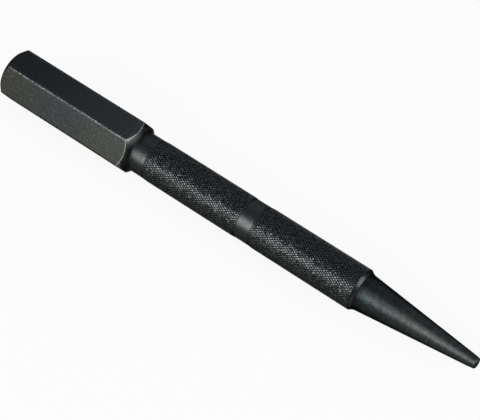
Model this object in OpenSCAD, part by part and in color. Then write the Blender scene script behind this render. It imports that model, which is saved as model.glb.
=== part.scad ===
// Nail setter: a hand punch turned from one hexagonal steel bar.
// Lengths are in millimetres. The axis lies along X, with the striking face at the -X end
// and the setting tip at the +X end. One flat of the head rests on Z = 0.
// The bar is divided into named sections where its form or its finish changes.

/* [Head] */
// Width of the hexagonal head across its flats
head_flats = 9.25; // [8.6:0.05:12]
// Length of the head, from the striking face to the end of its flats
head_length = 29.3; // [15:0.1:45]
// Depth of the bevel round the striking face, measured at the corners of the head
bevel_depth = 1.1; // [0.1:0.05:2]
// Slope of the bevels at both ends of the head, in degrees from the end face
bevel_angle = 46; // [25:1:50]

/* [Shank] */
// Diameter of the plain shank at the neck and at the middle band
shank_d = 7.78; // [7:0.02:8.4]
// Length of the neck, from the end of the head's flats to the rear grip
neck_length = 3.85; // [3:0.05:9]
// Radius of the hollow between the shoulder under the head and the plain neck
shoulder_round = 1; // [0.2:0.05:2]
// Length of the plain band between the two grips
band_length = 2.7; // [1:0.1:8]

/* [Knurled grips] */
// Length of the rear grip
rear_grip_length = 20.9; // [8:0.1:40]
// Length of the front grip, without the chamfer at its end
front_grip_length = 21.5; // [8:0.1:40]
// Length of the chamfer that ends the front grip
grip_chamfer_length = 0.55; // [0.2:0.05:2]
// Distance between neighbouring grooves, measured square across them
knurl_pitch = 0.39; // [0.39:0.01:1.2]
// Angle between the grooves and the axis, in degrees
knurl_angle = 30; // [25:0.5:45]
// Height of the diamond tips above the plain shank
knurl_rise = 0.08; // [0.02:0.01:0.2]
// Depth of the groove crossings below the plain shank
knurl_depth = 0.08; // [0.05:0.01:0.3]

/* [Point] */
// Diameter of the taper where it leaves the front grip
taper_d = 7.1; // [4:0.05:7.6]
// Length of the point, from the front grip to the end of the tip
point_length = 23.2; // [12:0.1:45]
// Length of the setting tip, the last stretch of the point
tip_length = 1.6; // [0.8:0.1:5]
// Diameter of the setting tip behind its rounded edge
tip_d = 2.1; // [1.4:0.05:4]
// Radius of the rounded edge of the setting tip
tip_round = 0.3; // [0.05:0.05:0.35]
// Width of the flat rim left round the cup in the tip
cup_rim = 0.15; // [0.05:0.05:0.3]
// Depth of the cup that keeps the tip on a nail's head
cup_depth = 0.15; // [0.05:0.01:0.3]

/* [Hidden] */

// Sides of the head, facets round each turned surface, and steps along a drawn quarter arc
head_sides = 6;
$fn = 96;
arc_steps = 8;

// How far a cutting outline runs past the metal that it trims
overrun = 1;

// Largest share of the shoulder's height that its hollow may take up
hollow_share = 0.9;

// Finish of each stretch of the blackened bar
ground_black = "#474a46";
oxide_black = "#2b2e30";
knurl_black = "#242628";

// Radii
flat_r = head_flats / 2;
corner_r = flat_r / cos(180 / head_sides);
striking_face_r = corner_r - bevel_depth / tan(bevel_angle);
shank_r = shank_d / 2;
crest_r = shank_r + knurl_rise;
root_r = shank_r - knurl_depth;
taper_r = taper_d / 2;
tip_r = tip_d / 2;
cup_r = tip_r - tip_round - cup_rim;
cup_sphere_r = (cup_r * cup_r + cup_depth * cup_depth) / (2 * cup_depth);

// Shoulder: the front bevel runs on below the flats, at this angle to the axis, and ends in a hollow
shoulder_slope = 90 - bevel_angle;
shoulder_drop = flat_r - shank_r;
hollow_r = min(shoulder_round, hollow_share * shoulder_drop / (1 - cos(shoulder_slope)));
shoulder_length = shoulder_drop / tan(shoulder_slope) + hollow_r * tan(shoulder_slope / 2);

// Stations along the axis, counted from the striking face
neck_start = head_length;
rear_grip_start = neck_start + neck_length;
band_start = rear_grip_start + rear_grip_length;
front_grip_start = band_start + band_length;
taper_start = front_grip_start + front_grip_length + grip_chamfer_length;
taper_length = point_length - tip_length;
tip_start = taper_start + taper_length;
overall_length = taper_start + point_length;
tip_start_r = taper_r + (tip_r - taper_r) * taper_length / point_length;

// Diamond knurl: the grooves each way that fit the girth, the turn of half a diamond, and a diamond's length
knurl_starts = round(PI * shank_d * cos(knurl_angle) / knurl_pitch);
knurl_columns = 2 * knurl_starts;
column_angle = 360 / knurl_columns;
diamond_length = knurl_pitch / sin(knurl_angle);

// Rows of half diamonds that fill a grip from end to end
function knurl_rows(length) = 2 * round(length / diamond_length);

// Radius at one point of the knurl: tips and groove crossings take turns, and the end rows are flush
function knurl_r(row, column, rows) =
    row == 0 || row == rows ? shank_r :
    (row + column) % 2 == 0 ? crest_r : root_r;

// One ring of points round the axis at a station, with its radii taken from a list
function ring(station, radii) = [
    for (column = [0 : knurl_columns - 1])
        let (turn = column * column_angle)
        [radii[column] * cos(turn), radii[column] * sin(turn), station]
];

// Two triangles between two rings, split along the groove that crosses the cell
function cell(row, column) =
    let (
        next = (column + 1) % knurl_columns,
        low = row * knurl_columns,
        high = low + knurl_columns,
        groove_falls = (row + column) % 2 == 0
    )
    groove_falls
        ? [[low + column, high + column, low + next], [low + next, high + column, high + next]]
        : [[low + column, high + next, low + next], [low + column, high + column, high + next]];

// Puts a piece drawn along Z on the tool's axis, at its station from the striking face
module along_axis(station) {
    translate([station - overall_length / 2, 0, flat_r])
        rotate([0, 90, 0])
            children();
}

// A knurled length of bar, ending in a plain chamfer where chamfer_length is above zero
module knurled_bar(length, chamfer_length = 0, chamfer_r = 0) {
    rows = knurl_rows(length);
    knurl_rings = [
        for (row = [0 : rows])
            ring(row * length / rows, [for (column = [0 : knurl_columns - 1]) knurl_r(row, column, rows)])
    ];
    end_rings = chamfer_length > 0
        ? [ring(length + chamfer_length, [for (column = [0 : knurl_columns - 1]) chamfer_r])]
        : [];
    rings = concat(knurl_rings, end_rings);
    last = len(rings) - 1;
    sides = [
        for (row = [0 : last - 1], column = [0 : knurl_columns - 1])
            each cell(row, column)
    ];
    start_cap = [for (column = [0 : knurl_columns - 1]) column];
    end_cap = [for (column = [knurl_columns - 1 : -1 : 0]) last * knurl_columns + column];
    polyhedron(points = [for (one = rings) each one], faces = concat(sides, [start_cap, end_cap]));
}

// Head: hexagonal bar with both ends bevelled on the lathe
module hex_head() {
    outer_r = corner_r + overrun;
    back_bevel_end = (outer_r - striking_face_r) * tan(bevel_angle);
    front_bevel_start = head_length - (outer_r - flat_r) * tan(bevel_angle);
    color(ground_black)
        along_axis(0)
            intersection() {
                rotate([0, 0, 180 / head_sides])
                    cylinder(r = corner_r, h = head_length, $fn = head_sides);
                rotate_extrude()
                    polygon([
                        [0, 0],
                        [striking_face_r, 0],
                        [outer_r, back_bevel_end],
                        [outer_r, front_bevel_start],
                        [flat_r, head_length],
                        [0, head_length]
                    ]);
            }
}

// Neck: shoulder under the head with a hollow at its foot, then a plain turned length
module neck() {
    hollow_curve = [
        for (step = [0 : arc_steps])
            let (turn = shoulder_slope * (1 - step / arc_steps))
            [shank_r + hollow_r * (1 - cos(turn)), shoulder_length - hollow_r * sin(turn)]
    ];
    color(oxide_black)
        along_axis(neck_start)
            rotate_extrude()
                polygon(concat([[0, 0], [flat_r, 0]], hollow_curve, [[shank_r, neck_length], [0, neck_length]]));
}

// Rear grip: knurled length behind the middle band
module rear_grip() {
    color(knurl_black)
        along_axis(rear_grip_start)
            knurled_bar(rear_grip_length);
}

// Middle band: plain length between the grips
module middle_band() {
    color(oxide_black)
        along_axis(band_start)
            cylinder(r = shank_r, h = band_length);
}

// Front grip: knurled length with a chamfer down to the taper
module front_grip() {
    color(knurl_black)
        along_axis(front_grip_start)
            knurled_bar(front_grip_length, grip_chamfer_length, taper_r);
}

// Taper: plain cone from the front grip to the setting tip
module taper() {
    color(oxide_black)
        along_axis(taper_start)
            cylinder(r1 = taper_r, r2 = tip_start_r, h = taper_length);
}

// Setting tip: end of the cone, with a rounded edge and a shallow cup
module setting_tip() {
    edge_curve = [
        for (step = [0 : arc_steps])
            let (turn = 90 * step / arc_steps)
            [tip_r - tip_round * (1 - cos(turn)), tip_length - tip_round * (1 - sin(turn))]
    ];
    color(oxide_black)
        along_axis(tip_start)
            difference() {
                rotate_extrude()
                    polygon(concat([[0, 0], [tip_start_r, 0]], edge_curve, [[0, tip_length]]));
                translate([0, 0, tip_length - cup_depth + cup_sphere_r])
                    sphere(r = cup_sphere_r);
            }
}

hex_head();
neck();
rear_grip();
middle_band();
front_grip();
taper();
setting_tip();
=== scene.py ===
"""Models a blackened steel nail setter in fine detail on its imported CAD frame, in a plain studio.

The bar lies along X with its striking face at the low end and its setting tip at the high end.
Sizes are in metres. Each section of the bar is one closed piece, which stands for its CAD node.
"""

import math

import bmesh
import bpy
from bpy.props import FloatProperty, FloatVectorProperty, IntProperty, PointerProperty
from mathutils import Matrix, Quaternion, Vector, noise


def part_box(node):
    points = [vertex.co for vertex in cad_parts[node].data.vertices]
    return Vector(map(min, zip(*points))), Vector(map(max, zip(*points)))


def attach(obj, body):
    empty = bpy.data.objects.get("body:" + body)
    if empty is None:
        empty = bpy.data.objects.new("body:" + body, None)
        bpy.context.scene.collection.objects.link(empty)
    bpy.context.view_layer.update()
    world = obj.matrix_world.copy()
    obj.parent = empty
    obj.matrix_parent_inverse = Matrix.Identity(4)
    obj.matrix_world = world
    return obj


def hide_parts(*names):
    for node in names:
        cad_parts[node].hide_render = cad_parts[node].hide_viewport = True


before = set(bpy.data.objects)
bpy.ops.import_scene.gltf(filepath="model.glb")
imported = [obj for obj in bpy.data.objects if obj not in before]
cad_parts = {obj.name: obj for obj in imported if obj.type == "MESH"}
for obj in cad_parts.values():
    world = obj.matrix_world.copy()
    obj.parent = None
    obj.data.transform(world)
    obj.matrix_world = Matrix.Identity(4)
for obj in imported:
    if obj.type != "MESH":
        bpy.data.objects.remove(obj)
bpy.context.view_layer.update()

bl_info = {
    "name": "Nail Setter",
    "version": (1, 0, 0),
    "blender": (4, 5, 0),
    "location": "3D View > Sidebar > Nail Setter",
    "description": "Models a blackened nail setter on its CAD frame, in a plain studio",
    "category": "Object",
}

MM = 0.001

# The axis of the bar runs through the middle of its hexagonal head
HEAD_SIDES = 6
HEAD_LOW, HEAD_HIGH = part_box("hex_head")
AXIS_Z = (HEAD_LOW.z + HEAD_HIGH.z) / 2

# How far a cutting solid runs past the metal that it trims, and the distance at which points are merged
OVERRUN = 1 * MM
MERGE_DISTANCE = 0.0005 * MM

# Steps across a rounded edge, and the least angle between faces that makes an edge a rim
ROUNDING_STEPS = 3
RIM_ANGLE = math.radians(20)

# Faces that meet at a flatter angle than these are shaded as one surface
SMOOTH_KNURL = math.radians(20)
SMOOTH_BAR = math.radians(30)
SMOOTH_TIP = math.radians(40)


def ends(node):
    """The stations along X where a section of the bar starts and ends."""
    low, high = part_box(node)
    return low.x, high.x


def reach(node):
    """The largest distance of a section's surface from the axis, measured upwards."""
    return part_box(node)[1].z - AXIS_Z


def mm(*sizes):
    """Sizes that are given in millimetres, in metres."""
    return tuple(size * MM for size in sizes)


def length(name, description, default):
    """A length property in metres."""
    return FloatProperty(name=name, description=description, default=default, precision=6, unit="LENGTH")


def angle(name, description, degrees):
    """An angle property, given in degrees and kept in radians."""
    return FloatProperty(
        name=name, description=description, default=math.radians(degrees), subtype="ANGLE"
    )


def share(name, description, default):
    """A plain number property."""
    return FloatProperty(name=name, description=description, default=default, precision=4)


def count(name, description, default, least):
    """A whole number property."""
    return IntProperty(name=name, description=description, default=default, min=least)


def color(name, description, default):
    """A linear colour property."""
    return FloatVectorProperty(
        name=name, description=description, default=default, size=3, min=0, max=1, subtype="COLOR"
    )


def heading(name, description, default):
    """A direction property."""
    return FloatVectorProperty(name=name, description=description, default=default, size=3, subtype="XYZ")


def extent(name, description, default):
    """A width and a height in metres."""
    return FloatVectorProperty(name=name, description=description, default=default, size=2, unit="LENGTH")


class NailSetterHead(bpy.types.PropertyGroup):
    """Sizes of the hexagonal head."""

    flat_radius: length("Flat radius", "Distance of the flats from the axis", reach("hex_head"))
    bevel_depth: length("Bevel depth", "Depth of the striking face's bevel, at the corners", 1.1 * MM)
    bevel_angle: angle("Bevel angle", "Slope of the bevels at both ends, from the end face", 46)
    ridge_rounding: length("Ridge rounding", "Width of the wear along the ridges", 0.055 * MM)
    rim_rounding: length("Rim rounding", "Width of the wear round the bevels", 0.08 * MM)


class NailSetterShank(bpy.types.PropertyGroup):
    """Sizes of the plain turned lengths of the shank."""

    radius: length("Radius", "Radius of the plain shank", reach("middle_band"))
    shoulder_round: length("Shoulder rounding", "Radius of the hollow under the shoulder", 1.0 * MM)
    arc_steps: count("Arc steps", "Steps along a drawn arc", 12, 4)
    sides: count("Sides", "Facets round each turned surface", 192, 48)


class NailSetterKnurl(bpy.types.PropertyGroup):
    """Sizes of the diamond knurl on the grips."""

    crest_radius: length("Crest radius", "Radius at the tips of the diamonds", reach("rear_grip"))
    depth: length("Depth", "Depth of the grooves below the tips", 0.13 * MM)
    pitch: length("Pitch", "Distance between grooves, square across them", 0.39 * MM)
    slant: angle("Slant", "Angle between the grooves and the axis", 30)
    groove_floor: length("Groove floor", "Half of the width of a groove's floor", 0.01 * MM)
    crest_flat: length("Crest flat", "Half of the width of the flat on a diamond", 0.115 * MM)
    crest_rounding: length("Crest rounding", "Width of the rounded edge of that flat", 0.02 * MM)
    track_depths: FloatVectorProperty(
        name="Track depths",
        description="Shares of the full depth in the three grooves that a tooth of the wheel leaves",
        default=(1.0, 0.6, 0.75),
        size=3,
    )
    unevenness: length("Unevenness", "How far the tips of the diamonds differ in height", 0.006 * MM)
    run_out: length("Run-out", "Length over which the grooves fade out at a plain band", 0.85 * MM)
    chamfer_length: length("Chamfer length", "Length of the chamfer that ends the front grip", 0.55 * MM)


class NailSetterPoint(bpy.types.PropertyGroup):
    """Sizes of the taper and the setting tip."""

    taper_radius: length("Taper radius", "Radius of the taper at the front grip", reach("taper"))
    root_rise: length("Root rise", "Height of the hollow where the taper leaves the grip", 0.06 * MM)
    root_length: length("Root length", "Length of that hollow", 0.6 * MM)
    tip_start_radius: length("Tip start radius", "Radius where the tip starts", reach("setting_tip"))
    tip_radius: length("Tip radius", "Radius of the setting tip behind its rounded edge", 1.05 * MM)
    tip_round: length("Tip rounding", "Radius of the rounded edge of the tip", 0.3 * MM)
    cup_rim: length("Cup rim", "Width of the flat rim round the cup", 0.15 * MM)
    cup_depth: length("Cup depth", "Depth of the cup in the tip", 0.15 * MM)


class NailSetterFinish(bpy.types.PropertyGroup):
    """Colours of the blackened steel, and how much of its reflection is left at grazing angles."""

    oxide: color("Oxide", "Black oxide", (0.0292, 0.0327, 0.0336))
    teal: color("Teal oxide", "Bluish oxide at the root of the taper", (0.0255, 0.0338, 0.0345))
    olive: color("Olive oxide", "Greenish oxide on the flats and in clouds", (0.0278, 0.0298, 0.0250))
    # Thick dull oxide; the same colour paints shade on the head, the neck and the taper
    crust_and_shade: color("Crust", "Oxide left thick and dull", (0.0080, 0.0090, 0.0090))
    bare: color("Bare steel", "Steel that shows where the oxide has worn", (0.36, 0.37, 0.36))
    shank_tint: share("Shank tint", "Reflection left at grazing angles on the shank", 0.45)
    point_tint: share("Point tint", "The same on the taper and the tip", 0.27)
    flat_tint: share("Flat tint", "The same on the head", 0.12)
    tip_tint: share("Tip tint", "The same on the knurl", 0.33)


class NailSetterHeadMarks(bpy.types.PropertyGroup):
    """Marks on the head: their sizes, shares of bare steel, of crust and of painted shade and light, and
    roughness.
    """

    grain_size: length("Grain size", "Size of the grain, and of the chips along the edges", 0.3 * MM)
    grain_depth: length("Grain depth", "Depth of the grain", 0.03 * MM)
    patch_size: length("Patch size", "Size of the patches in which edges are chipped more", 1.6 * MM)
    cloud_size: length("Cloud size", "Size of the olive clouds", 6 * MM)
    ridge_trace: share("Ridge trace", "Bare steel all along the near upper ridge", 0.05)
    ridge_chips: share("Ridge chips", "Bare steel in the chips of that ridge", 0.32)
    sparse_chips: share("Sparse chips", "Strength of those chips outside the patches", 0.3)
    ridge_scuffs: share("Ridge scuffs", "Bare steel in scuffs beside the upper ridges", 0.12)
    rim_trace: share("Rim trace", "Bare steel all along the front rims", 0.34)
    rim_chips: share("Rim chips", "Bare steel in the chips of the front rims", 0.36)
    rim_scuffs: share("Rim scuffs", "Bare steel in scuffs behind the upper front rim", 0.2)
    # Partly scuffed bare steel, partly a painted highlight on the near side of the bevels
    bevel_scuffs_and_highlight: share("Bevel scuffs", "Bare steel in scuffs on the near side of the bevels", 0.5)
    # Painted light: bare steel that pales the upper flat towards its front
    front_painted_light: share("Front polish", "Bare steel towards the front of the upper flat", 0.02)
    grit: share("Grit", "Bare steel in specks all over", 0.06)
    middle_oxide: share("Middle oxide", "Olive that gives way to black at the middle of the flats", 0.8)
    # Crust at the foot of the front bevel, with painted shade low down
    low_foot_crust_and_shade: share("Low foot crust", "Crust at the foot of the front bevel, low down", 0.5)
    high_foot_crust: share("High foot crust", "Crust at the foot of the front bevel, high up", 0.1)
    # Painted shade on the far side of the bevels
    far_painted_shade: share("Far crust", "Crust on the far side of the bevels", 0.6)
    # Painted shade that darkens the upper flat
    top_painted_shade: share("Top crust", "Crust on the upper flat", 0.2)
    # More painted shade towards the rear of the upper flat
    top_rear_painted_shade: share("Top rear crust", "More crust towards the rear of the upper flat", 0.32)
    # Crust on the other flats, to which their painted shade is added
    side_crust_and_shade: share("Side crust", "Crust on the other flats", 0.1)
    # Painted shade at the middle of those flats
    middle_painted_shade: share("Middle crust", "More crust at the middle of those flats", 0.27)
    # Painted shade at the rear of those flats
    rear_painted_shade: share("Rear crust", "More crust at the rear of those flats", 0.22)
    # Painted shade: the flats below the axis made darker
    low_painted_shade: share("Low crust", "More crust on the flats below the axis", 0.6)
    roughness: share("Roughness", "Roughness between the grains", 0.31)
    grain_roughness: share("Grain roughness", "More roughness on the grains", 0.18)


class NailSetterTurnedMarks(bpy.types.PropertyGroup):
    """Marks on the turned lengths: their sizes, shares of bare steel, of crust and of painted shade, and
    roughness.
    """

    ring_size: length("Ring size", "Distance between the rings that turning leaves", 0.25 * MM)
    ring_depth: length("Ring depth", "Depth of the rings and the flecks", 0.02 * MM)
    ring_strength: share("Ring strength", "Strength of that relief", 0.8)
    fleck_size: length("Fleck size", "Size of small flecks", 0.3 * MM)
    fleck_stretch: share("Fleck stretch", "Length of the flecks along the bar, by their width", 0.5)
    cloud_size: length("Cloud size", "Size of the olive clouds", 3 * MM)
    streak_size: length("Streak size", "Distance between the streaks round the taper", 0.22 * MM)
    streak_waver: length("Streak waver", "How far the streaks waver along the bar", 0.1 * MM)
    mottle_size: length("Mottle size", "Size of the mottling on the taper", 0.9 * MM)
    mottle_stretch: share("Mottle stretch", "Length of the mottling along the bar, by its width", 0.6)
    olive: share("Olive", "Olive in the clouds", 0.5)
    flecks: share("Flecks", "Bare steel in the flecks", 0.08)
    tip_polish: share("Tip polish", "Bare steel towards the tip", 0.015)
    # Crust in the hollow under the shoulder, with painted shade: kept off the hollow's start high up, so
    # it is darker low down
    foot_crust_and_shade: share("Foot crust", "Crust in the hollow under the shoulder", 0.6)
    # Crust on the neck, partly painted shade that deepens towards the shoulder
    neck_crust_and_shade: share("Neck crust", "Crust on the neck, less towards the grip", 0.3)
    # Thick oxide at the root of the taper, partly painted shade in the corner by the grip
    root_crust_and_shade: share("Root crust", "Crust at the root of the taper", 0.63)
    # How much of the root's crust and painted shade goes soon after the root, and again further on
    root_fade: share("Thinning", "Crust lost soon after the root, and as much again further on", 0.36)
    mottle_crust: share("Mottle crust", "More crust in the mottling", 0.3)
    streak_crust: share("Streak crust", "More crust in the streaks", 0.14)
    roughness: share("Roughness", "Roughness of the smooth metal", 0.22)
    mark_roughness: share("Mark roughness", "More roughness in the rings, and in the clouds", 0.1)
    end_roughness: share("End roughness", "More roughness on the neck, and on the point", 0.06)


class NailSetterKnurlMarks(bpy.types.PropertyGroup):
    """Marks on the knurl: their sizes, shares of bare steel and of crust, and roughness."""

    speckle_size: length("Speckle size", "Size of the worn specks on the tips", 0.22 * MM)
    patch_size: length("Patch size", "Size of the patches that are worn more", 1.2 * MM)
    pit_size: length("Pit size", "Size of the dull pits", 0.2 * MM)
    tilt_size: length("Tilt size", "Distance over which the faces of the diamonds tilt", 0.35 * MM)
    tilt_depth: length("Tilt depth", "Depth of that tilt", 0.03 * MM)
    tilt_strength: share("Tilt strength", "Strength of that tilt", 0.6)
    worn_tips: share("Worn tips", "Bare steel in the worn specks", 0.24)
    least_wear: share("Least wear", "Strength of the wear outside the patches", 0.4)
    groove_crust: share("Groove crust", "Crust in the grooves", 0.95)
    pit_crust: share("Pit crust", "Crust in the pits", 0.6)
    roughness: share("Roughness", "Roughness between the specks", 0.27)
    speckle_roughness: share("Speckle roughness", "More roughness in the specks", 0.08)


class NailSetterStudio(bpy.types.PropertyGroup):
    """Camera, lamps and floor. Directions point from the tool to a lamp."""

    azimuth: angle("Azimuth", "Turn of the camera round the tool", 34.289)
    elevation: angle("Elevation", "Height of the camera above the horizon", 51.998)
    roll: angle("Roll", "Turn of the camera about its line of sight", 3.989)
    distance: length("Distance", "Distance of the camera from its aim", 316.05 * MM)
    aim_right: length("Aim to the right", "Shift of the aim from the middle of the tool", 1.1 * MM)
    clip_start: length("Clip start", "Nearest distance that the camera sees", 10 * MM)
    lens: FloatProperty(name="Lens", description="Focal length in millimetres", default=135)
    sensor_width: FloatProperty(name="Sensor", description="Sensor width in millimetres", default=36)
    lamp_distance: length("Lamp distance", "Distance of the lamps from the tool", 600 * MM)
    key_direction: heading("Key direction", "Direction of the large softbox", (-0.24, -0.825, 0.50))
    key_size: extent("Key size", "Size of the large softbox", (0.34, 0.56))
    key_lean: angle("Key lean", "Turn of the large softbox in its own plane", -38)
    key_radiance: share("Key radiance", "Brightness of the large softbox", 8.3)
    side_direction: heading("Side direction", "Direction of the side softbox", (0.79, 0.17, 0.60))
    side_size: extent("Side size", "Size of the side softbox", (0.50, 0.46))
    side_radiance: share("Side radiance", "Brightness of the side softbox", 5.3)
    top_direction: heading("Top direction", "Direction of the small softbox overhead", (0.15, -0.40, 0.90))
    top_size: extent("Top size", "Size of the small softbox overhead", (0.20, 0.24))
    top_radiance: share("Top radiance", "Brightness of the small softbox overhead", 5.0)
    back_direction: heading("Back direction", "Direction of the dim panel behind", (-0.56, 0.64, 0.53))
    back_size: extent("Back size", "Size of the dim panel behind", (0.95, 0.7))
    back_radiance: share("Back radiance", "Brightness of the dim panel behind", 0.44)
    room_level: share("Room level", "Brightness of the room", 0.41)
    room_color: color("Room", "Colour of the light from the room and the dim panel", (0.86, 0.90, 1.0))
    floor_size: length("Floor size", "Length of the floor's sides", 4.0)
    floor_color: color("Floor", "Colour of the floor", (0.41, 0.40, 0.387))
    floor_roughness: share("Floor roughness", "Roughness of the floor", 0.9)
    floor_glow: share("Floor glow", "Share of the floor's look that is plain white", 0.91)
    mirrored_glow: share("Mirrored glow", "The same share where the floor shows in metal", 0.2)


class Value:
    """A shader socket that takes part in Python arithmetic, each step of which adds a Math node."""

    def __init__(self, paint, socket):
        self.paint = paint
        self.socket = socket

    def __add__(self, other):
        return self.paint.math("ADD", self, other)

    def __sub__(self, other):
        return self.paint.math("SUBTRACT", self, other)

    def __rsub__(self, other):
        return self.paint.math("SUBTRACT", other, self)

    def __mul__(self, other):
        return self.paint.math("MULTIPLY", self, other)

    __radd__ = __add__
    __rmul__ = __mul__


class Paint:
    """One material in the making."""

    def __init__(self, name):
        self.material = bpy.data.materials.new(name)
        self.material.use_nodes = True
        self.tree = self.material.node_tree
        self.shader = self.tree.nodes["Principled BSDF"]

    def node(self, kind, settings, sockets, output=0):
        """Adds a node, sets it, feeds its sockets and returns one of its outputs."""
        made = self.tree.nodes.new(kind)
        for key, value in settings.items():
            setattr(made, key, value)
        for key, value in sockets.items():
            self.feed(made.inputs[key], value)
        return Value(self, made.outputs[output])

    def feed(self, socket, value):
        """Links a socket, or sets its own value."""
        if isinstance(value, Value):
            self.tree.links.new(value.socket, socket)
        else:
            socket.default_value = value

    def outputs(self, value):
        """All the outputs of the node that a value comes from, by name."""
        return {socket.name: Value(self, socket) for socket in value.socket.node.outputs}

    def finish(self, **sockets):
        """Feeds the shader: names are those of its sockets, with _ for a space."""
        for key, value in sockets.items():
            self.feed(self.shader.inputs[key.replace("_", " ")], value)
        return self.material

    def math(self, operation, *values):
        """A Math node."""
        return self.node("ShaderNodeMath", {"operation": operation}, dict(enumerate(values)))

    def place(self):
        """The point on the piece, as a vector and as x, y and height above the axis."""
        point = self.node("ShaderNodeTexCoord", {}, {}, "Object")
        parts = self.outputs(self.node("ShaderNodeSeparateXYZ", {}, {0: point}))
        return point, parts["X"], parts["Y"], parts["Z"] - AXIS_Z

    def distance(self, y, z):
        """The distance from the axis."""
        return self.math("SQRT", y * y + z * z)

    def noise(self, point, cell, stretch=1.0, detail=2.0):
        """Noise with cells of about that size in metres, drawn out along the bar by stretch."""
        scale = (1 / (cell * stretch), 1 / cell, 1 / cell)
        spread = self.node("ShaderNodeMapping", {}, {"Vector": point, "Scale": scale})
        return self.node("ShaderNodeTexNoise", {}, {"Vector": spread, "Scale": 1.0, "Detail": detail})

    def rings(self, x, cell, detail=2.0):
        """Noise that changes only along the bar, as the marks of turning do."""
        sockets = {"W": x, "Scale": 1 / cell, "Detail": detail}
        return self.node("ShaderNodeTexNoise", {"noise_dimensions": "1D"}, sockets)

    def step(self, value, span):
        """0 below a span from low to high, 1 above it, and smooth between them."""
        sockets = {"Value": value, "From Min": span[0], "From Max": span[1]}
        return self.node("ShaderNodeMapRange", {"interpolation_type": "SMOOTHSTEP"}, sockets)

    def fade(self, value, span):
        """1 below a span from low to high, 0 above it, and smooth between them."""
        return 1 - self.step(value, span)

    def blend(self, factor, first, second):
        """A colour between two others. The numbers are those of a Mix node's colour sockets."""
        settings = {"data_type": "RGBA", "clamp_factor": True}
        return self.node("ShaderNodeMix", settings, {0: factor, 6: opaque(first), 7: opaque(second)}, 2)

    def bump(self, height, distance, strength=1.0):
        """A normal that follows a relief of that depth."""
        sockets = {"Height": height, "Distance": distance, "Strength": strength}
        return self.node("ShaderNodeBump", {}, sockets)


def opaque(tone):
    """A colour with its alpha, or the socket that carries one."""
    if isinstance(tone, Value):
        return tone
    return (*tone, 1.0)


def gray(level):
    """A gray colour with its alpha."""
    return (level, level, level, 1.0)


def corner_radius(head):
    """Distance of the sharp corners of the hexagon from the axis."""
    return head.flat_radius / math.cos(math.pi / HEAD_SIDES)


def flat_distance(paint, y, z):
    """Distance from the axis to the flat of the hexagon that lies outermost at a point."""
    turns = [2 * math.pi / HEAD_SIDES * number for number in range(HEAD_SIDES // 2)]
    across = [paint.math("ABSOLUTE", y * math.sin(turned) + z * math.cos(turned)) for turned in turns]
    return paint.math("MAXIMUM", paint.math("MAXIMUM", across[0], across[1]), across[2])


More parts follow.
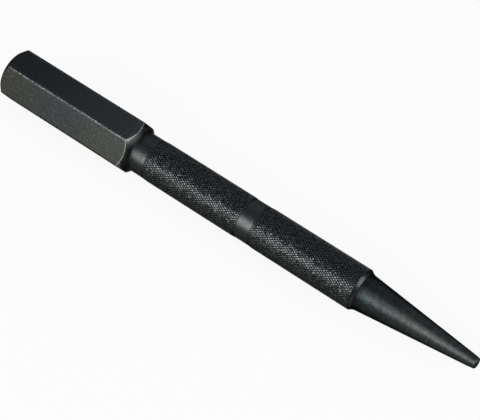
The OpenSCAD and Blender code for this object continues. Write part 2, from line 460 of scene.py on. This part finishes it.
def ground_black_steel(finish, marks, head):
    """Black oxide over ground flats: a fine grain, an olive cast and bare steel along the edges."""
    paint = Paint("ground_flats")
    point, x, y, z = paint.place()
    start, end = ends("hex_head")

    # Distances from both ends, outside the circle that the flats touch, below the ridges,
    # behind the front bevel and under the flats
    from_rear = x - start
    from_front = end - x
    radius = paint.distance(y, z)
    above_flats = radius - head.flat_radius
    ridge_gap = corner_radius(head) - radius
    bevel_gap = from_front * math.cos(head.bevel_angle) - above_flats * math.sin(head.bevel_angle)
    flat_gap = head.flat_radius - flat_distance(paint, y, z)

    # Spans over which the marks come in or fade out
    edge_line = mm(0.02, 0.12)
    ridge_strip = mm(0.02, 0.3)
    rim_strip = mm(0.1, 1.6)
    flat_skin = mm(0.02, 0.1)
    outer_bevel = mm(0, 0.4)
    foot_strip = mm(0, 0.7)
    off_ridge = mm(0.3, 0.6)
    rear_end = mm(4, 12)
    middle_from_rear = mm(5, 11)
    middle_from_front = mm(6, 12)
    near_to_far = mm(-1, 1)
    low_to_level = mm(-0.3, 0.3)
    low_to_high = mm(-0.5, 2)
    below_top, top = 0.9 * head.flat_radius, 0.98 * head.flat_radius

    # Places on the head
    on_top = paint.step(z, (below_top, top))
    on_flats = paint.fade(flat_gap, flat_skin)
    on_bevels = 1 - on_flats
    near_side = paint.fade(y, near_to_far)
    high_side = paint.step(z, low_to_high)
    low_side = paint.fade(z, low_to_level)
    rear = paint.fade(from_rear, rear_end)
    middle = paint.step(from_rear, middle_from_rear) * paint.step(from_front, middle_from_front)
    top_front = paint.step(x, (start, end)) * on_top
    foot = paint.fade(from_front, foot_strip) * on_bevels * paint.step(ridge_gap, off_ridge)

    # Patterns, each with the levels of noise between which it comes in
    grain = paint.noise(point, marks.grain_size, detail=4)
    speckle = paint.noise(point, marks.grain_size, detail=3)
    chips = paint.step(speckle, (0.42, 0.62))
    fine_chips = paint.step(speckle, (0.5, 0.7))
    specks = paint.step(grain, (0.5, 0.8))
    patches = paint.step(paint.noise(point, marks.patch_size), (0.35, 0.65))
    clouds = paint.step(paint.noise(point, marks.cloud_size, detail=3), (0.2, 0.45))

    # Bare steel: thin chipped lines along the near ridge and the front rims, and scuffs beside them
    ridge = paint.fade(ridge_gap, edge_line) * on_top * near_side
    rim = paint.fade(bevel_gap, edge_line) * on_flats
    beside_ridge = paint.fade(ridge_gap, ridge_strip) * chips * on_top
    behind_rim = paint.fade(bevel_gap, rim_strip) * fine_chips * on_top
    # Scuffs on the near side of the bevels, which also paint a highlight there
    near_bevel = on_bevels * paint.step(above_flats, outer_bevel) * near_side * speckle
    ridge_wear = marks.ridge_trace + chips * (marks.sparse_chips + patches) * marks.ridge_chips
    rim_wear = marks.rim_trace + chips * patches * marks.rim_chips
    lines = ridge * ridge_wear + rim * rim_wear
    scuffs = beside_ridge * marks.ridge_scuffs + behind_rim * marks.rim_scuffs
    # Polish: bevel scuffs with their painted highlight, painted light towards the front of the upper flat,
    # and grit
    polish_and_painted_light = near_bevel * marks.bevel_scuffs_and_highlight + top_front * marks.front_painted_light + specks * marks.grit

    # Crust and painted shade: the foot of the front bevel is crusted, with painted shade low down; painted
    # shade darkens the far side of the bevels, the upper flat towards its rear, and the other flats at
    # their middle, rear and below the axis
    # Crust at the foot of the front bevel, with painted shade that makes it darker low down; painted shade
    # on the bevels' far side
    foot_crust_and_shade = marks.low_foot_crust_and_shade - high_side * (marks.low_foot_crust_and_shade - marks.high_foot_crust)
    bevel_crust_and_shade = foot * foot_crust_and_shade + on_bevels * (1 - near_side) * marks.far_painted_shade
    # Painted shade on the upper flat, deeper towards its rear
    top_painted_shade = marks.top_painted_shade + (1 - top_front) * marks.top_rear_painted_shade
    # Crust on the other flats, with painted shade at their middle and rear and below the axis
    along_side = marks.side_crust_and_shade + middle * marks.middle_painted_shade + rear * marks.rear_painted_shade
    side_crust_and_shade = along_side + low_side * marks.low_painted_shade
    crust_and_shade = bevel_crust_and_shade + on_top * top_painted_shade + (1 - on_top) * side_crust_and_shade

    olive = clouds * (1 - on_top) * (1 - middle * marks.middle_oxide)
    oxide = paint.blend(olive, finish.oxide, finish.olive)
    crusted_and_shaded = paint.blend(crust_and_shade, oxide, finish.crust_and_shade)
    return paint.finish(
        Base_Color=paint.blend(lines + scuffs + polish_and_painted_light, crusted_and_shaded, finish.bare),
        Metallic=1.0,
        Roughness=marks.roughness + grain * marks.grain_roughness,
        Specular_Tint=gray(finish.flat_tint),
        Normal=paint.bump(grain, marks.grain_depth),
    )


def turned_black_steel(name, finish, marks, edge_tint):
    """Satin black oxide with the faint rings that turning leaves."""
    paint = Paint(name)
    point, x, _, z = paint.place()
    foot, neck_end = ends("neck")
    root, tip = ends("taper")
    from_foot = x - foot
    from_root = x - root

    # Spans over which the marks come in or fade out
    shoulder = mm(0, 0.6)
    hollow_end = mm(0.7, 1.9)
    low_to_high = mm(-0.5, 2)
    whole_neck = (foot, neck_end + 1 * MM)
    taper_edge = mm(-0.1, 0)
    first_thinning = mm(0, 2)
    further_thinning = mm(0, 15)
    teal_end = mm(0, 10)

    # Places on the bar
    above_hollow = paint.fade(from_foot, shoulder) * paint.step(z, low_to_high)
    in_hollow = (1 - above_hollow) * paint.fade(from_foot, hollow_end)
    on_neck = paint.fade(x, whole_neck)
    on_point = paint.step(from_root, taper_edge)
    at_root = on_point * paint.fade(from_root, teal_end)
    near_tip = paint.step(x, (root, tip))

    # Patterns, each with the levels of noise between which it comes in
    rings = paint.rings(x, marks.ring_size, detail=3)
    flecks = paint.noise(point, marks.fleck_size, marks.fleck_stretch, detail=3)
    clouds = paint.noise(point, marks.cloud_size, detail=3)
    wavering_x = x + flecks * marks.streak_waver
    streaks = paint.step(paint.rings(wavering_x, marks.streak_size), (0.3, 0.7))
    mottling = paint.noise(point, marks.mottle_size, marks.mottle_stretch, detail=3)
    mottle = paint.step(mottling, (0.35, 0.65))
    bright_flecks = paint.step(flecks, (0.45, 0.8))

    # The oxide is thick under the shoulder and at the root of the taper, and thins towards the tip.
    # Painted shade goes with it: darker low down in the hollow, deeper on the neck towards the shoulder,
    # and in the corner at the root of the taper
    root_fade = paint.step(from_root, first_thinning) + paint.step(from_root, further_thinning)
    uneven = mottle * marks.mottle_crust + streaks * marks.streak_crust
    point_crust_and_shade = on_point * (marks.root_crust_and_shade - root_fade * marks.root_fade + uneven)
    crust_and_shade = in_hollow * marks.foot_crust_and_shade + on_neck * marks.neck_crust_and_shade + point_crust_and_shade
    clouded = paint.blend(clouds * marks.olive, finish.oxide, finish.olive)
    oxide = paint.blend(at_root, clouded, finish.teal)
    bare = bright_flecks * marks.flecks + near_tip * marks.tip_polish
    scuffed = paint.blend(bare, oxide, finish.bare)
    mark_roughness = (rings + clouds) * marks.mark_roughness
    end_roughness = (on_neck + on_point) * marks.end_roughness
    return paint.finish(
        Base_Color=paint.blend(crust_and_shade, scuffed, finish.crust_and_shade),
        Metallic=1.0,
        Roughness=marks.roughness + mark_roughness + end_roughness,
        Specular_Tint=gray(edge_tint),
        Normal=paint.bump(rings + flecks, marks.ring_depth, marks.ring_strength),
    )


def knurled_black_steel(finish, marks, knurl):
    """Black oxide over the knurl, thick in the grooves and polished a little on the tips."""
    paint = Paint("knurled_diamonds")
    point, x, y, z = paint.place()
    below_crest = knurl.crest_radius - paint.distance(y, z)
    past_knurl = x - (ends("front_grip")[1] - knurl.chamfer_length)

    # Spans over which the marks come in or fade out
    tip_edge = mm(0.01, 0.06)
    groove_edge = mm(0.05, 0.115)
    chamfer_edge = mm(0, 0.1)

    before_chamfer = paint.fade(past_knurl, chamfer_edge)
    on_tips = paint.fade(below_crest, tip_edge)
    in_grooves = paint.step(below_crest, groove_edge) * before_chamfer

    # Patterns, each with the levels of noise between which it comes in
    speckle = paint.noise(point, marks.speckle_size, detail=3)
    specks = paint.step(speckle, (0.45, 0.7))
    patches = paint.noise(point, marks.patch_size)
    pits = paint.step(paint.noise(point, marks.pit_size), (0.5, 0.6)) * before_chamfer
    tilt = paint.noise(point, marks.tilt_size)

    worn = on_tips * specks * (marks.least_wear + patches)
    crust_and_shade = in_grooves * marks.groove_crust + pits * marks.pit_crust
    crusted_and_shaded = paint.blend(crust_and_shade, finish.oxide, finish.crust_and_shade)
    return paint.finish(
        Base_Color=paint.blend(worn * marks.worn_tips, crusted_and_shaded, finish.bare),
        Metallic=1.0,
        Roughness=marks.roughness + speckle * marks.speckle_roughness,
        Specular_Tint=gray(finish.tip_tint),
        Normal=paint.bump(tilt, marks.tilt_depth, marks.tilt_strength),
    )


def pale_floor(studio):
    """Plain pale paint that glows white for the camera, less so in metal, and keeps the shadow."""
    paint = Paint("pale_floor")
    paint.finish(
        Base_Color=opaque(studio.floor_color),
        Roughness=studio.floor_roughness,
        Specular_IOR_Level=0.0,
    )
    rays = paint.outputs(paint.node("ShaderNodeLightPath", {}, {}))
    mirrored = rays["Is Glossy Ray"] + rays["Is Transmission Ray"]
    seen = rays["Is Camera Ray"] * studio.floor_glow + mirrored * studio.mirrored_glow
    lit = Value(paint, paint.shader.outputs[0])
    glow = paint.node("ShaderNodeEmission", {}, {"Color": gray(1.0), "Strength": 1.0})
    mixed = paint.node("ShaderNodeMixShader", {}, {0: seen, 1: lit, 2: glow})
    paint.feed(paint.tree.nodes["Material Output"].inputs["Surface"], mixed)
    return paint.material


def select_faces(piece, wanted):
    """Selects the faces that pass a test, in edit mode."""
    bpy.ops.mesh.select_mode(type="FACE")
    mesh = bmesh.from_edit_mesh(piece.data)
    for face in mesh.faces:
        face.select_set(wanted(face))
    bmesh.update_edit_mesh(piece.data)


def select_edges(piece, wanted):
    """Selects the edges that pass a test, in edit mode."""
    bpy.ops.mesh.select_all(action="DESELECT")
    bpy.ops.mesh.select_mode(type="EDGE")
    mesh = bmesh.from_edit_mesh(piece.data)
    for edge in mesh.edges:
        edge.select_set(wanted(edge))
    bmesh.update_edit_mesh(piece.data)


def turn(name, profile, sides):
    """Turns a closed solid on the axis from (station, radius) pairs, drawn out of a disc ring by ring."""
    bpy.ops.object.select_all(action="DESELECT")
    station, radius = profile[0]
    bpy.ops.mesh.primitive_circle_add(
        vertices=sides,
        radius=radius,
        fill_type="NGON",
        location=(station, 0, AXIS_Z),
        rotation=(0, math.pi / 2, 0),
    )
    piece = bpy.context.active_object
    piece.name = name
    piece.data.name = name
    bpy.ops.object.transform_apply(location=True, rotation=True, scale=True)
    bpy.ops.object.mode_set(mode="EDIT")
    bpy.ops.mesh.select_all(action="SELECT")
    for next_station, next_radius in profile[1:]:
        advance = (next_station - station, 0, 0)
        bpy.ops.mesh.extrude_region_move(TRANSFORM_OT_translate={"value": advance})
        growth = next_radius / radius
        bpy.ops.transform.resize(value=(1, growth, growth), center_override=(next_station, 0, AXIS_Z))
        station, radius = next_station, next_radius
    bpy.ops.mesh.select_all(action="SELECT")
    bpy.ops.mesh.normals_make_consistent(inside=False)
    bpy.ops.object.mode_set(mode="OBJECT")
    return piece


def make_active(piece):
    """Leaves only one piece selected and active."""
    bpy.ops.object.select_all(action="DESELECT")
    piece.select_set(True)
    bpy.context.view_layer.objects.active = piece


def keep_common(piece, other):
    """Cuts a piece down to what it shares with another solid, and deletes that solid."""
    make_active(piece)
    bpy.ops.object.modifier_add(type="BOOLEAN")
    modifier = piece.modifiers[-1]
    modifier.operation = "INTERSECT"
    modifier.solver = "EXACT"
    modifier.object = other
    bpy.ops.object.modifier_apply(modifier=modifier.name)
    bpy.data.objects.remove(other)


def keep_flats_plain(piece):
    """Shades large faces flat right up to the rounded edges between them."""
    make_active(piece)
    bpy.ops.object.modifier_add(type="WEIGHTED_NORMAL")
    modifier = piece.modifiers[-1]
    modifier.keep_sharp = True
    bpy.ops.object.modifier_apply(modifier=modifier.name)


def round_edges(piece, width, wanted):
    """Rounds the edges that pass a test."""
    make_active(piece)
    bpy.ops.object.mode_set(mode="EDIT")
    select_edges(piece, wanted)
    bpy.ops.mesh.bevel(offset=width, segments=ROUNDING_STEPS, affect="EDGES")
    bpy.ops.object.mode_set(mode="OBJECT")


def put_on_frame(piece, node, material, smooth_angle):
    """Closes a piece's mesh, gives it its finish and puts it on the frame in place of its CAD node."""
    make_active(piece)
    bpy.ops.object.mode_set(mode="EDIT")
    bpy.ops.mesh.select_all(action="SELECT")
    bpy.ops.mesh.remove_doubles(threshold=MERGE_DISTANCE)
    bpy.ops.mesh.normals_make_consistent(inside=False)
    open_edges = [edge for edge in bmesh.from_edit_mesh(piece.data).edges if not edge.is_manifold]
    bpy.ops.object.mode_set(mode="OBJECT")
    if open_edges:
        raise RuntimeError(f"{piece.name} isn't closed: {len(open_edges)} edges are open")
    bpy.ops.object.shade_smooth_by_angle(angle=smooth_angle)
    piece.data.materials.clear()
    piece.data.materials.append(material)
    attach(piece, "root")
    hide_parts(node)


class NAILSETTER_OT_head(bpy.types.Operator):
    """Model the hexagonal head, with its turned bevels and worn edges"""

    bl_idname = "nailsetter.head"
    bl_label = "Head"

    def execute(self, context):
        scene = context.scene
        head = scene.nail_setter_head
        start, end = ends("hex_head")
        corner = corner_radius(head)
        outer_radius = corner + OVERRUN
        rise = math.tan(head.bevel_angle)
        face_radius = corner - head.bevel_depth / rise
        envelope = turn(
            "bevel_envelope",
            [
                (start, face_radius),
                (start + (outer_radius - face_radius) * rise, outer_radius),
                (end - (outer_radius - head.flat_radius) * rise, outer_radius),
                (end, head.flat_radius),
            ],
            scene.nail_setter_shank.sides,
        )
        piece = turn("hexagonal_head", [(start - OVERRUN, corner), (end + OVERRUN, corner)], HEAD_SIDES)

        def is_ridge(edge):
            return edge.verts[0].co.x != edge.verts[1].co.x

        round_edges(piece, head.ridge_rounding, is_ridge)
        keep_common(piece, envelope)
        clear_end = end - 2 * head.rim_rounding

        def is_rim(edge):
            clear_of_neck = max(vert.co.x for vert in edge.verts) < clear_end
            return clear_of_neck and edge.calc_face_angle(0) > RIM_ANGLE

        round_edges(piece, head.rim_rounding, is_rim)
        material = ground_black_steel(scene.nail_setter_finish, scene.nail_setter_head_marks, head)
        put_on_frame(piece, "hex_head", material, SMOOTH_BAR)
        keep_flats_plain(piece)
        return {"FINISHED"}


class NAILSETTER_OT_shank(bpy.types.Operator):
    """Turn the neck with its hollow shoulder, and the middle band"""

    bl_idname = "nailsetter.shank"
    bl_label = "Neck and band"

    def execute(self, context):
        scene = context.scene
        head = scene.nail_setter_head
        shank = scene.nail_setter_shank
        finish = scene.nail_setter_finish
        marks = scene.nail_setter_turned_marks
        material = turned_black_steel("turned_shank", finish, marks, finish.shank_tint)
        start, end = ends("neck")
        slope = math.pi / 2 - head.bevel_angle
        drop = head.flat_radius - shank.radius
        hollow = shank.shoulder_round
        foot = start + drop / math.tan(slope) + hollow * math.tan(slope / 2)
        profile = [(start, head.flat_radius)]
        for number in range(shank.arc_steps + 1):
            turned = slope * (1 - number / shank.arc_steps)
            station = foot - hollow * math.sin(turned)
            profile.append((station, shank.radius + hollow * (1 - math.cos(turned))))
        profile.append((end, shank.radius))
        neck = turn("turned_neck", profile, shank.sides)
        put_on_frame(neck, "neck", material, SMOOTH_BAR)
        start, end = ends("middle_band")
        band = turn("plain_band", [(start, shank.radius), (end, shank.radius)], shank.sides)
        put_on_frame(band, "middle_band", material, SMOOTH_BAR)
        return {"FINISHED"}


def knurled_bar(name, start, end, plain_radius, knurl):
    """A bar covered with diamonds that runs a little past both of its ends."""
    spare_rows = 2
    root_radius = knurl.crest_radius - knurl.depth
    columns = round(2 * math.pi * plain_radius * math.cos(knurl.slant) / knurl.pitch)
    rows = round((end - start) * math.sin(knurl.slant) / knurl.pitch)
    row_length = (end - start) / rows
    stations = [start + row_length * row for row in range(-spare_rows, rows + spare_rows + 1)]
    piece = turn(name, [(station, root_radius) for station in stations], columns)

    # A point in the middle of each cell, and no edges but those to the points, leave a net of diamonds
    bpy.ops.object.mode_set(mode="EDIT")
    ring_points = len(piece.data.vertices)
    sag = 1 - math.cos(math.pi / columns)

    def is_four_sided(face):
        return len(face.verts) == 4

    def between_rings(edge):
        on_rings = all(vert.index < ring_points for vert in edge.verts)
        return on_rings and all(len(face.verts) == 3 for face in edge.link_faces)

    select_faces(piece, is_four_sided)
    bpy.ops.mesh.poke(offset=root_radius * sag)
    select_edges(piece, between_rings)
    bpy.ops.mesh.dissolve_edges(use_verts=False)

    # Each diamond is raised in three steps: the groove's floor, its side and the rounded edge of the tip
    raised = knurl.crest_radius - root_radius * (1 - sag / 2)
    side_width = knurl.pitch / 2 - knurl.groove_floor - knurl.crest_rounding - knurl.crest_flat
    rounding_height = knurl.crest_rounding / 2
    select_faces(piece, is_four_sided)
    bpy.ops.mesh.inset(thickness=knurl.groove_floor, depth=0, use_individual=True)
    bpy.ops.mesh.inset(thickness=side_width, depth=raised - rounding_height, use_individual=True)
    bpy.ops.mesh.inset(thickness=knurl.crest_rounding, depth=rounding_height, use_individual=True)
    bpy.ops.object.mode_set(mode="OBJECT")

    # The tips, which are still selected, differ a little in height from cell to cell of a fine noise.
    # Grooves of several depths take turns round the bar, and the deeper one shows where two cross.
    noise_cell = knurl.pitch / 8
    groove_top = root_radius + raised / 4
    tracks = len(knurl.track_depths)
    for vert in piece.data.vertices:
        height = vert.co.z - AXIS_Z
        radius = math.hypot(vert.co.y, height)
        rise = 0
        if vert.select:
            rise = knurl.unevenness * noise.cell(vert.co / noise_cell)
        elif radius < groove_top:
            column = math.atan2(height, vert.co.y) * columns / (2 * math.pi)
            row = (vert.co.x - start) / row_length
            crossing = (round(column + row), round(column - row))
            depth_share = max(knurl.track_depths[groove % tracks] for groove in crossing)
            rise = knurl.depth * (1 - depth_share)
        growth = 1 + rise / radius
        vert.co.y *= growth
        vert.co.z = AXIS_Z + height * growth
    return piece


def fade_grooves(piece, station, direction, plain_radius, run_out):
    """Lets the grooves run out into the plain bar at a station, beyond which the bar is plain."""
    for vert in piece.data.vertices:
        height = vert.co.z - AXIS_Z
        radius = math.hypot(vert.co.y, height)
        depth_left = min(max((vert.co.x - station) * direction / run_out, 0), 1)
        growth = 1 + (plain_radius / radius - 1) * (1 - depth_left)
        vert.co.y *= growth
        vert.co.z = AXIS_Z + height * growth


class NAILSETTER_OT_grips(bpy.types.Operator):
    """Model the two knurled grips, the front one with its end chamfer"""

    bl_idname = "nailsetter.grips"
    bl_label = "Grips"

    def execute(self, context):
        scene = context.scene
        knurl = scene.nail_setter_knurl
        shank = scene.nail_setter_shank
        point = scene.nail_setter_point
        material = knurled_black_steel(scene.nail_setter_finish, scene.nail_setter_knurl_marks, knurl)
        outer_radius = knurl.crest_radius + OVERRUN
        start, end = ends("rear_grip")
        envelope = turn("rear_envelope", [(start, outer_radius), (end, outer_radius)], shank.sides)
        piece = knurled_bar("rear_knurled_grip", start, end, shank.radius, knurl)
        fade_grooves(piece, start, 1, shank.radius, knurl.run_out)
        fade_grooves(piece, end, -1, shank.radius, knurl.run_out)
        keep_common(piece, envelope)
        put_on_frame(piece, "rear_grip", material, SMOOTH_KNURL)
        start, end = ends("front_grip")
        knurl_end = end - knurl.chamfer_length
        slope = (shank.radius - point.taper_radius) / knurl.chamfer_length
        chamfer_start = end - (outer_radius - point.taper_radius) / slope
        envelope = turn(
            "front_envelope",
            [(start, outer_radius), (chamfer_start, outer_radius), (end, point.taper_radius)],
            shank.sides,
        )
        piece = knurled_bar("front_knurled_grip", start, knurl_end, shank.radius, knurl)
        fade_grooves(piece, start, 1, shank.radius, knurl.run_out)
        keep_common(piece, envelope)
        put_on_frame(piece, "front_grip", material, SMOOTH_KNURL)
        return {"FINISHED"}


class NAILSETTER_OT_point(bpy.types.Operator):
    """Turn the taper, and the setting tip with its rounded edge and cup"""

    bl_idname = "nailsetter.point"
    bl_label = "Point"

    def execute(self, context):
        scene = context.scene
        shank = scene.nail_setter_shank
        point = scene.nail_setter_point
        finish = scene.nail_setter_finish
        marks = scene.nail_setter_turned_marks
        material = turned_black_steel("turned_point", finish, marks, finish.point_tint)
        start, end = ends("taper")
        cone_radius = point.taper_radius - point.root_rise
        fall = (cone_radius - point.tip_start_radius) / (end - start)
        profile = []
        for number in range(shank.arc_steps + 1):
            part = number / shank.arc_steps
            past_root = point.root_length * part
            rise = point.root_rise * (1 - part) ** 2
            profile.append((start + past_root, cone_radius - fall * past_root + rise))
        profile.append((end, point.tip_start_radius))
        cone = turn("long_taper", profile, shank.sides)
        put_on_frame(cone, "taper", material, SMOOTH_BAR)
        start, end = ends("setting_tip")
        profile = [(start, point.tip_start_radius)]
        for number in range(shank.arc_steps + 1):
            turned = math.pi / 2 * number / shank.arc_steps
            radius = point.tip_radius - point.tip_round * (1 - math.cos(turned))
            profile.append((end - point.tip_round * (1 - math.sin(turned)), radius))
        cup_radius = point.tip_radius - point.tip_round - point.cup_rim
        ball_radius = (cup_radius**2 + point.cup_depth**2) / (2 * point.cup_depth)
        for number in range(shank.arc_steps):
            radius = cup_radius * (1 - number / shank.arc_steps)
            depth = math.sqrt(ball_radius**2 - radius**2) - (ball_radius - point.cup_depth)
            profile.append((end - depth, radius))
        tip = turn("setting_tip_end", profile, shank.sides)
        put_on_frame(tip, "setting_tip", material, SMOOTH_TIP)
        return {"FINISHED"}


class NAILSETTER_OT_studio(bpy.types.Operator):
    """Set the floor, the softboxes, the room and the camera"""

    bl_idname = "nailsetter.studio"
    bl_label = "Studio"

    def execute(self, context):
        scene = context.scene
        studio = scene.nail_setter_studio
        bpy.ops.object.select_all(action="DESELECT")
        bpy.ops.mesh.primitive_plane_add(size=studio.floor_size, location=(0, 0, 0))
        floor = context.active_object
        floor.name = "floor"
        floor.data.materials.append(pale_floor(studio))
        key = softbox("key_softbox", studio.key_size, studio.key_radiance)
        side = softbox("side_softbox", studio.side_size, studio.side_radiance)
        top = softbox("top_softbox", studio.top_size, studio.top_radiance)
        back = softbox("back_panel", studio.back_size, studio.back_radiance)
        back.data.color = studio.room_color
        aim_lamp(key, studio.key_direction, studio.lamp_distance, studio.key_lean)
        aim_lamp(side, studio.side_direction, studio.lamp_distance)
        aim_lamp(top, studio.top_direction, studio.lamp_distance)
        aim_lamp(back, studio.back_direction, studio.lamp_distance)
        world = bpy.data.worlds.new("studio_room")
        world.use_nodes = True
        background = world.node_tree.nodes["Background"]
        background.inputs["Color"].default_value = opaque(studio.room_color)
        background.inputs["Strength"].default_value = studio.room_level
        scene.world = world
        scene.view_settings.view_transform = "Standard"
        scene.camera = camera(studio)
        return {"FINISHED"}


def softbox(name, size, radiance):
    """A rectangular lamp whose face has that brightness."""
    lamp = bpy.data.lights.new(name, "AREA")
    lamp.shape = "RECTANGLE"
    lamp.size, lamp.size_y = size
    lamp.energy = radiance * math.pi * size[0] * size[1]
    box = bpy.data.objects.new(name, lamp)
    bpy.context.scene.collection.objects.link(box)
    return box


def aim_lamp(box, direction, distance, lean=0.0):
    """Puts a lamp in that direction from the middle of the tool, turned towards it."""
    direction = Vector(direction)
    facing = direction.to_track_quat("Z", "Y")
    box.location = Vector((0, 0, AXIS_Z)) + direction.normalized() * distance
    box.rotation_euler = (facing @ Quaternion((0, 0, 1), lean)).to_euler()


def camera(studio):
    """The camera that looks at the tool as the photograph does."""
    level = math.cos(studio.elevation)
    level_right = Vector((math.cos(studio.azimuth), math.sin(studio.azimuth), 0))
    level_back = Vector((math.sin(studio.azimuth), -math.cos(studio.azimuth), 0))
    back = level_back * level + Vector((0, 0, math.sin(studio.elevation)))
    level_up = back.cross(level_right)
    right = level_right * math.cos(studio.roll) + level_up * math.sin(studio.roll)
    up = level_up * math.cos(studio.roll) - level_right * math.sin(studio.roll)
    aim = Vector((0, 0, AXIS_Z)) + right * studio.aim_right
    data = bpy.data.cameras.new("camera")
    data.lens = studio.lens
    data.sensor_width = studio.sensor_width
    data.clip_start = studio.clip_start
    made = bpy.data.objects.new("camera", data)
    bpy.context.scene.collection.objects.link(made)
    turned = Matrix((right, up, back)).transposed().to_4x4()
    made.matrix_world = Matrix.Translation(aim + back * studio.distance) @ turned
    return made


OPERATORS = (
    NAILSETTER_OT_head,
    NAILSETTER_OT_shank,
    NAILSETTER_OT_grips,
    NAILSETTER_OT_point,
    NAILSETTER_OT_studio,
)
GROUPS = {
    "nail_setter_head": NailSetterHead,
    "nail_setter_shank": NailSetterShank,
    "nail_setter_knurl": NailSetterKnurl,
    "nail_setter_point": NailSetterPoint,
    "nail_setter_finish": NailSetterFinish,
    "nail_setter_head_marks": NailSetterHeadMarks,
    "nail_setter_turned_marks": NailSetterTurnedMarks,
    "nail_setter_knurl_marks": NailSetterKnurlMarks,
    "nail_setter_studio": NailSetterStudio,
}


class NAILSETTER_PT_panel(bpy.types.Panel):
    """Lists the steps that model the nail setter"""

    bl_idname = "NAILSETTER_PT_panel"
    bl_label = "Nail Setter"
    bl_space_type = "VIEW_3D"
    bl_region_type = "UI"
    bl_category = "Nail Setter"

    def draw(self, context):
        for operator in OPERATORS:
            self.layout.operator(operator.bl_idname)


def register():
    for group in GROUPS.values():
        bpy.utils.register_class(group)
    for operator in OPERATORS:
        bpy.utils.register_class(operator)
    bpy.utils.register_class(NAILSETTER_PT_panel)
    for name, group in GROUPS.items():
        setattr(bpy.types.Scene, name, PointerProperty(type=group))


def unregister():
    for name in GROUPS:
        delattr(bpy.types.Scene, name)
    bpy.utils.unregister_class(NAILSETTER_PT_panel)
    for operator in reversed(OPERATORS):
        bpy.utils.unregister_class(operator)
    for group in reversed(GROUPS.values()):
        bpy.utils.unregister_class(group)


def main():
    register()
    bpy.ops.nailsetter.head()
    bpy.ops.nailsetter.shank()
    bpy.ops.nailsetter.grips()
    bpy.ops.nailsetter.point()
    bpy.ops.nailsetter.studio()
    shown = [name for name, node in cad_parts.items() if not node.hide_render]
    if shown:
        raise RuntimeError(f"these CAD nodes have no finished piece: {shown}")


if __name__ == "__main__":
    main()
